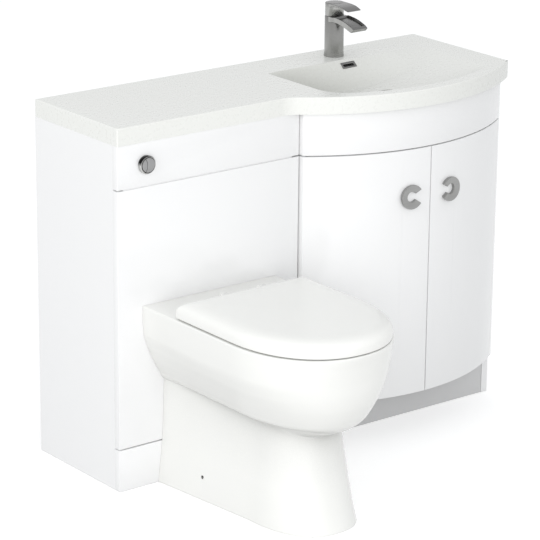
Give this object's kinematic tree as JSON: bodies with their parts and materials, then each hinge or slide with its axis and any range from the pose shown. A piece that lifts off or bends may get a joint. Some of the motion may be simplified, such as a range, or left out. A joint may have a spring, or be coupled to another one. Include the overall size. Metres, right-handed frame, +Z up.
{
  "type": "toilet and basin combination unit",
  "caption": "Bathroom combination unit: cistern cupboard with floor-standing pan and bow-fronted basin cupboard under one moulded worktop with basin and mixer tap.",
  "frame": {"origin": "middle of the whole unit's box, on the floor", "axes": "+Z up, +Y towards the wall, +X towards the basin end"},
  "size_m": [1.11, 0.863, 0.974],
  "materials": {
    "worktop": "glossy cast polymer, warm white",
    "ceramic": "glossy white glaze",
    "seat_plastic": "glossy white thermoset",
    "gloss_board": "gloss white foil faced board",
    "carcass": "white melamine faced chipboard",
    "chrome": "polished chrome",
    "brushed": "brushed nickel",
    "steel": "plated steel",
    "brass": "bare brass",
    "white_plastic": "moulded white plastic",
    "grey_plastic": "moulded grey plastic",
    "rubber": "black rubber"
  },
  "bodies": {
    "unit": {"basin_top": "worktop", "overflow_trim": "chrome", "waste_body": "chrome", "waste_backnut": "rubber", "bottle_trap": "white_plastic", "trap_outlet_pipe": "white_plastic", "tap_body": "chrome", "tap_cartridge": "grey_plastic", "tap_fixing": "brass", "tap_hoses": "steel", "wc_left_side": "gloss_board", "wc_right_side": "carcass", "wc_top_rail": "carcass", "wc_back_rail": "carcass", "wc_cistern_board": "carcass", "wc_battens": "carcass", "wc_upper_fascia": "gloss_board", "wc_access_panel": "gloss_board", "wc_plinth": "gloss_board", "cistern_tank": "white_plastic", "cistern_lid": "white_plastic", "flush_valve_tower": "grey_plastic", "cistern_nut": "white_plastic", "fill_valve": "white_plastic", "flush_button_housing": "chrome", "air_hoses": "grey_plastic", "flush_pipe": "white_plastic", "flush_pipe_seal": "rubber", "pan": "ceramic", "pan_connector": "white_plastic", "pan_brackets": "white_plastic", "pan_screws": "steel", "seat_hinge_posts": "chrome", "basin_left_side": "carcass", "basin_right_side": "gloss_board", "basin_base": "carcass", "basin_back_rail": "carcass", "basin_shelf": "carcass", "shelf_pegs": "steel", "basin_plinth": "gloss_board", "curved_fascia": "gloss_board", "fascia_blocks": "carcass", "left_pivots": "steel", "right_pivots": "steel", "cabinet_bolts": "steel", "door_bumpers": "white_plastic"},
    "left_door_body": {"left_door": "gloss_board", "left_handle": "brushed"},
    "right_door_body": {"right_door": "gloss_board", "right_handle": "brushed"},
    "seat_body": {"seat": "seat_plastic", "seat_buffers": "white_plastic"},
    "lid_body": {"lid": "seat_plastic"},
    "tap_stem_body": {"tap_stem": "steel"},
    "tap_lever_body": {"tap_lever": "chrome"},
    "waste_plug_body": {"waste_plug": "chrome"},
    "canister_body": {"valve_canister": "white_plastic"},
    "float_body": {"float_cup": "grey_plastic"},
    "full_button_body": {"full_flush_button": "chrome"},
    "half_button_body": {"half_flush_button": "chrome"}
  },
  "joints": [
    {"name": "left_door_hinge", "type": "hinge", "parent": "unit", "child": "left_door_body", "pos_m": [-0.047, 0.10352, 0.4], "axis": [0, 0, -1], "range_deg": [0, 75]},
    {"name": "right_door_hinge", "type": "hinge", "parent": "unit", "child": "right_door_body", "pos_m": [0.537, 0.10352, 0.4], "axis": [0, 0, 1], "range_deg": [0, 95]},
    {"name": "seat_hinge", "type": "hinge", "parent": "unit", "child": "seat_body", "pos_m": [-0.305, -0.0145, 0.449], "axis": [1, 0, 0], "range_deg": [-98, 0]},
    {"name": "lid_hinge", "type": "hinge", "parent": "seat_body", "child": "lid_body", "pos_m": [-0.305, -0.0145, 0.449], "axis": [-1, 0, 0], "range_deg": [0, 98]},
    {"name": "tap_mixing", "type": "hinge", "parent": "unit", "child": "tap_stem_body", "pos_m": [0.25, 0.3665, 0.94], "axis": [0, 0, 1], "range_deg": [-45, 45]},
    {"name": "tap_lever_lift", "type": "hinge", "parent": "tap_stem_body", "child": "tap_lever_body", "pos_m": [0.25, 0.3775, 0.945], "axis": [-1, 0, 0], "range_deg": [0, 25]},
    {"name": "waste_plug_lift", "type": "slide", "parent": "unit", "child": "waste_plug_body", "axis": [0, 0, 1], "range_m": [0, 0.008]},
    {"name": "full_flush_press", "type": "slide", "parent": "unit", "child": "full_button_body", "axis": [0, 1, 0], "range_m": [0, 0.004], "stiffness_N_per_m": 500, "springref_m": -0.002},
    {"name": "half_flush_press", "type": "slide", "parent": "unit", "child": "half_button_body", "axis": [0, 1, 0], "range_m": [0, 0.004], "stiffness_N_per_m": 500, "springref_m": -0.002},
    {"name": "canister_lift", "type": "slide", "parent": "unit", "child": "canister_body", "axis": [0, 0, 1], "range_m": [0, 0.012]},
    {"name": "float_rise", "type": "slide", "parent": "unit", "child": "float_body", "axis": [0, 0, 1], "range_m": [0, 0.09]}
  ],
  "couplings": [
    {"joint": "canister_lift", "follows": "full_flush_press", "ratio": 3}
  ]
}
